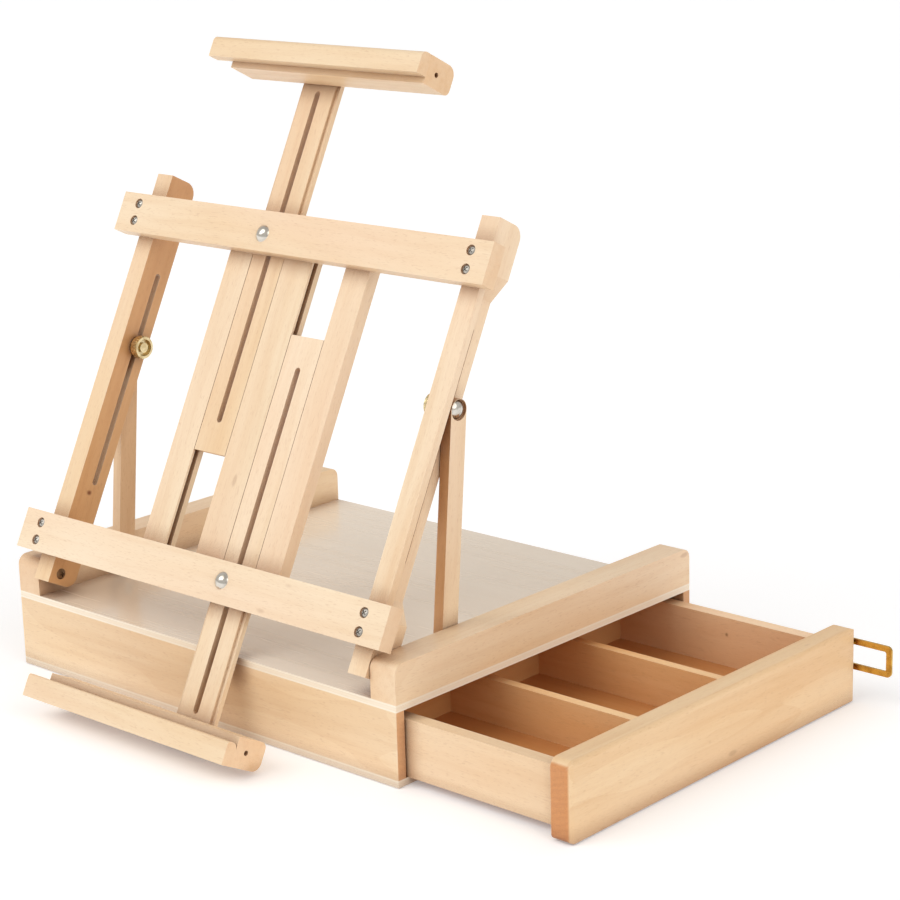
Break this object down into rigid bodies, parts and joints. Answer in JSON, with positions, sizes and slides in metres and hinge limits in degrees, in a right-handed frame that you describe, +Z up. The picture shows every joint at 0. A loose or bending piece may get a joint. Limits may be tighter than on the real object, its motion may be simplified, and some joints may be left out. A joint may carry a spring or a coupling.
{
  "type": "tabletop easel",
  "caption": "Tabletop artist's easel: shallow box with a compartmented side drawer and a tilting slatted frame with two sliding canvas holders on brass clamp nuts.",
  "frame": {"origin": "centre of the underside of the box", "axes": "+X towards the drawer (right), +Y towards the rear, +Z up; the frame leans back over +Y and its canvas side faces -Y"},
  "size_m": [0.6075, 0.4332, 0.4982],
  "materials": {
    "beech": "clear satin lacquer",
    "plywood": "clear semi-gloss lacquer",
    "steel": "zinc plated",
    "nickel": "nickel plated",
    "brass": "polished"
  },
  "bodies": {
    "base": {"bottom_panel": "plywood", "top_panel": "plywood", "front_board": "beech", "back_board": "beech", "left_board": "beech", "left_rail": "beech", "right_rail": "beech", "frame_pivot_screws": "steel", "strut_pivot_screws": "steel", "latch_catch": "brass"},
    "drawer": {"drawer_front": "beech", "drawer_side_front": "beech", "drawer_side_back": "beech", "drawer_end": "beech", "drawer_floor": "plywood", "divider_front": "beech", "divider_rear": "beech", "cross_divider": "beech", "latch_plate": "brass", "latch_screws": "brass"},
    "latch": {"latch_loop": "brass"},
    "frame": {"left_post": "beech", "right_post": "beech", "upper_crossbar": "beech", "lower_crossbar": "beech", "left_slat": "beech", "centre_slat": "beech", "right_slat": "beech", "crossbar_screws": "steel", "upper_clamp_bolt": "nickel", "lower_clamp_bolt": "nickel"},
    "upper_holder": {"upper_slider": "beech", "upper_ledge": "beech", "upper_lip": "beech"},
    "lower_holder": {"lower_slider": "beech", "lower_ledge": "beech", "lower_lip": "beech"},
    "upper_nut": {"upper_clamp_nut": "brass"},
    "lower_nut": {"lower_clamp_nut": "brass"},
    "left_brace": {"left_strut": "beech", "left_strut_bolt": "nickel"},
    "right_brace": {"right_strut": "beech", "right_strut_bolt": "nickel"},
    "left_runner": {"left_carriage": "nickel"},
    "right_runner": {"right_carriage": "nickel"},
    "left_nut": {"left_strut_nut": "brass"},
    "right_nut": {"right_strut_nut": "brass"}
  },
  "joints": [
    {"name": "drawer_slide", "type": "slide", "parent": "base", "child": "drawer", "axis": [1, 0, 0], "range_m": [-0.141, 0.19]},
    {"name": "latch_swing", "type": "hinge", "parent": "drawer", "child": "latch", "pos_m": [0.356, 0.176, 0.036], "axis": [0, 0, 1], "range_deg": [0, 180]},
    {"name": "frame_tilt", "type": "hinge", "parent": "base", "child": "frame", "pos_m": [0, -0.163, 0.0825], "axis": [1, 0, 0], "range_deg": [-63, 3]},
    {"name": "upper_slide", "type": "slide", "parent": "frame", "child": "upper_holder", "axis": [0, 0.454, 0.891], "range_m": [-0.1055, 0.145]},
    {"name": "lower_slide", "type": "slide", "parent": "frame", "child": "lower_holder", "axis": [0, 0.454, 0.891], "range_m": [-0.165, 0.085]},
    {"name": "upper_nut_spin", "type": "hinge", "parent": "frame", "child": "upper_nut", "pos_m": [-0.033, -0.02462, 0.34308], "axis": [0, -0.891, 0.454], "continuous": true},
    {"name": "lower_nut_spin", "type": "hinge", "parent": "frame", "child": "lower_nut", "pos_m": [0.033, -0.14515, 0.10651], "axis": [0, -0.891, 0.454], "continuous": true},
    {"name": "left_brace_swing", "type": "hinge", "parent": "base", "child": "left_brace", "pos_m": [-0.18, -0.087, 0.0765], "axis": [1, 0, 0], "range_deg": [-84.4, 4.1]},
    {"name": "right_brace_swing", "type": "hinge", "parent": "base", "child": "right_brace", "pos_m": [0.18, -0.087, 0.0765], "axis": [1, 0, 0], "range_deg": [-84.4, 4.1]},
    {"name": "left_runner_slide", "type": "slide", "parent": "frame", "child": "left_runner", "axis": [0, 0.454, 0.891], "range_m": [-0.0029, 0.05905]},
    {"name": "right_runner_slide", "type": "slide", "parent": "frame", "child": "right_runner", "axis": [0, 0.454, 0.891], "range_m": [-0.0029, 0.05905]},
    {"name": "left_nut_spin", "type": "hinge", "parent": "left_runner", "child": "left_nut", "pos_m": [-0.16, -0.06958, 0.25263], "axis": [1, 0, 0], "continuous": true},
    {"name": "right_nut_spin", "type": "hinge", "parent": "right_runner", "child": "right_nut", "pos_m": [0.16, -0.06958, 0.25263], "axis": [1, 0, 0], "continuous": true}
  ],
  "couplings": [
    {"joint": "left_brace_swing", "follows": "frame_tilt", "ratio": 1.3389},
    {"joint": "right_brace_swing", "follows": "frame_tilt", "ratio": 1.3389},
    {"joint": "left_runner_slide", "follows": "frame_tilt", "m_per_rad": -0.053649},
    {"joint": "right_runner_slide", "follows": "frame_tilt", "m_per_rad": -0.053649}
  ]
}
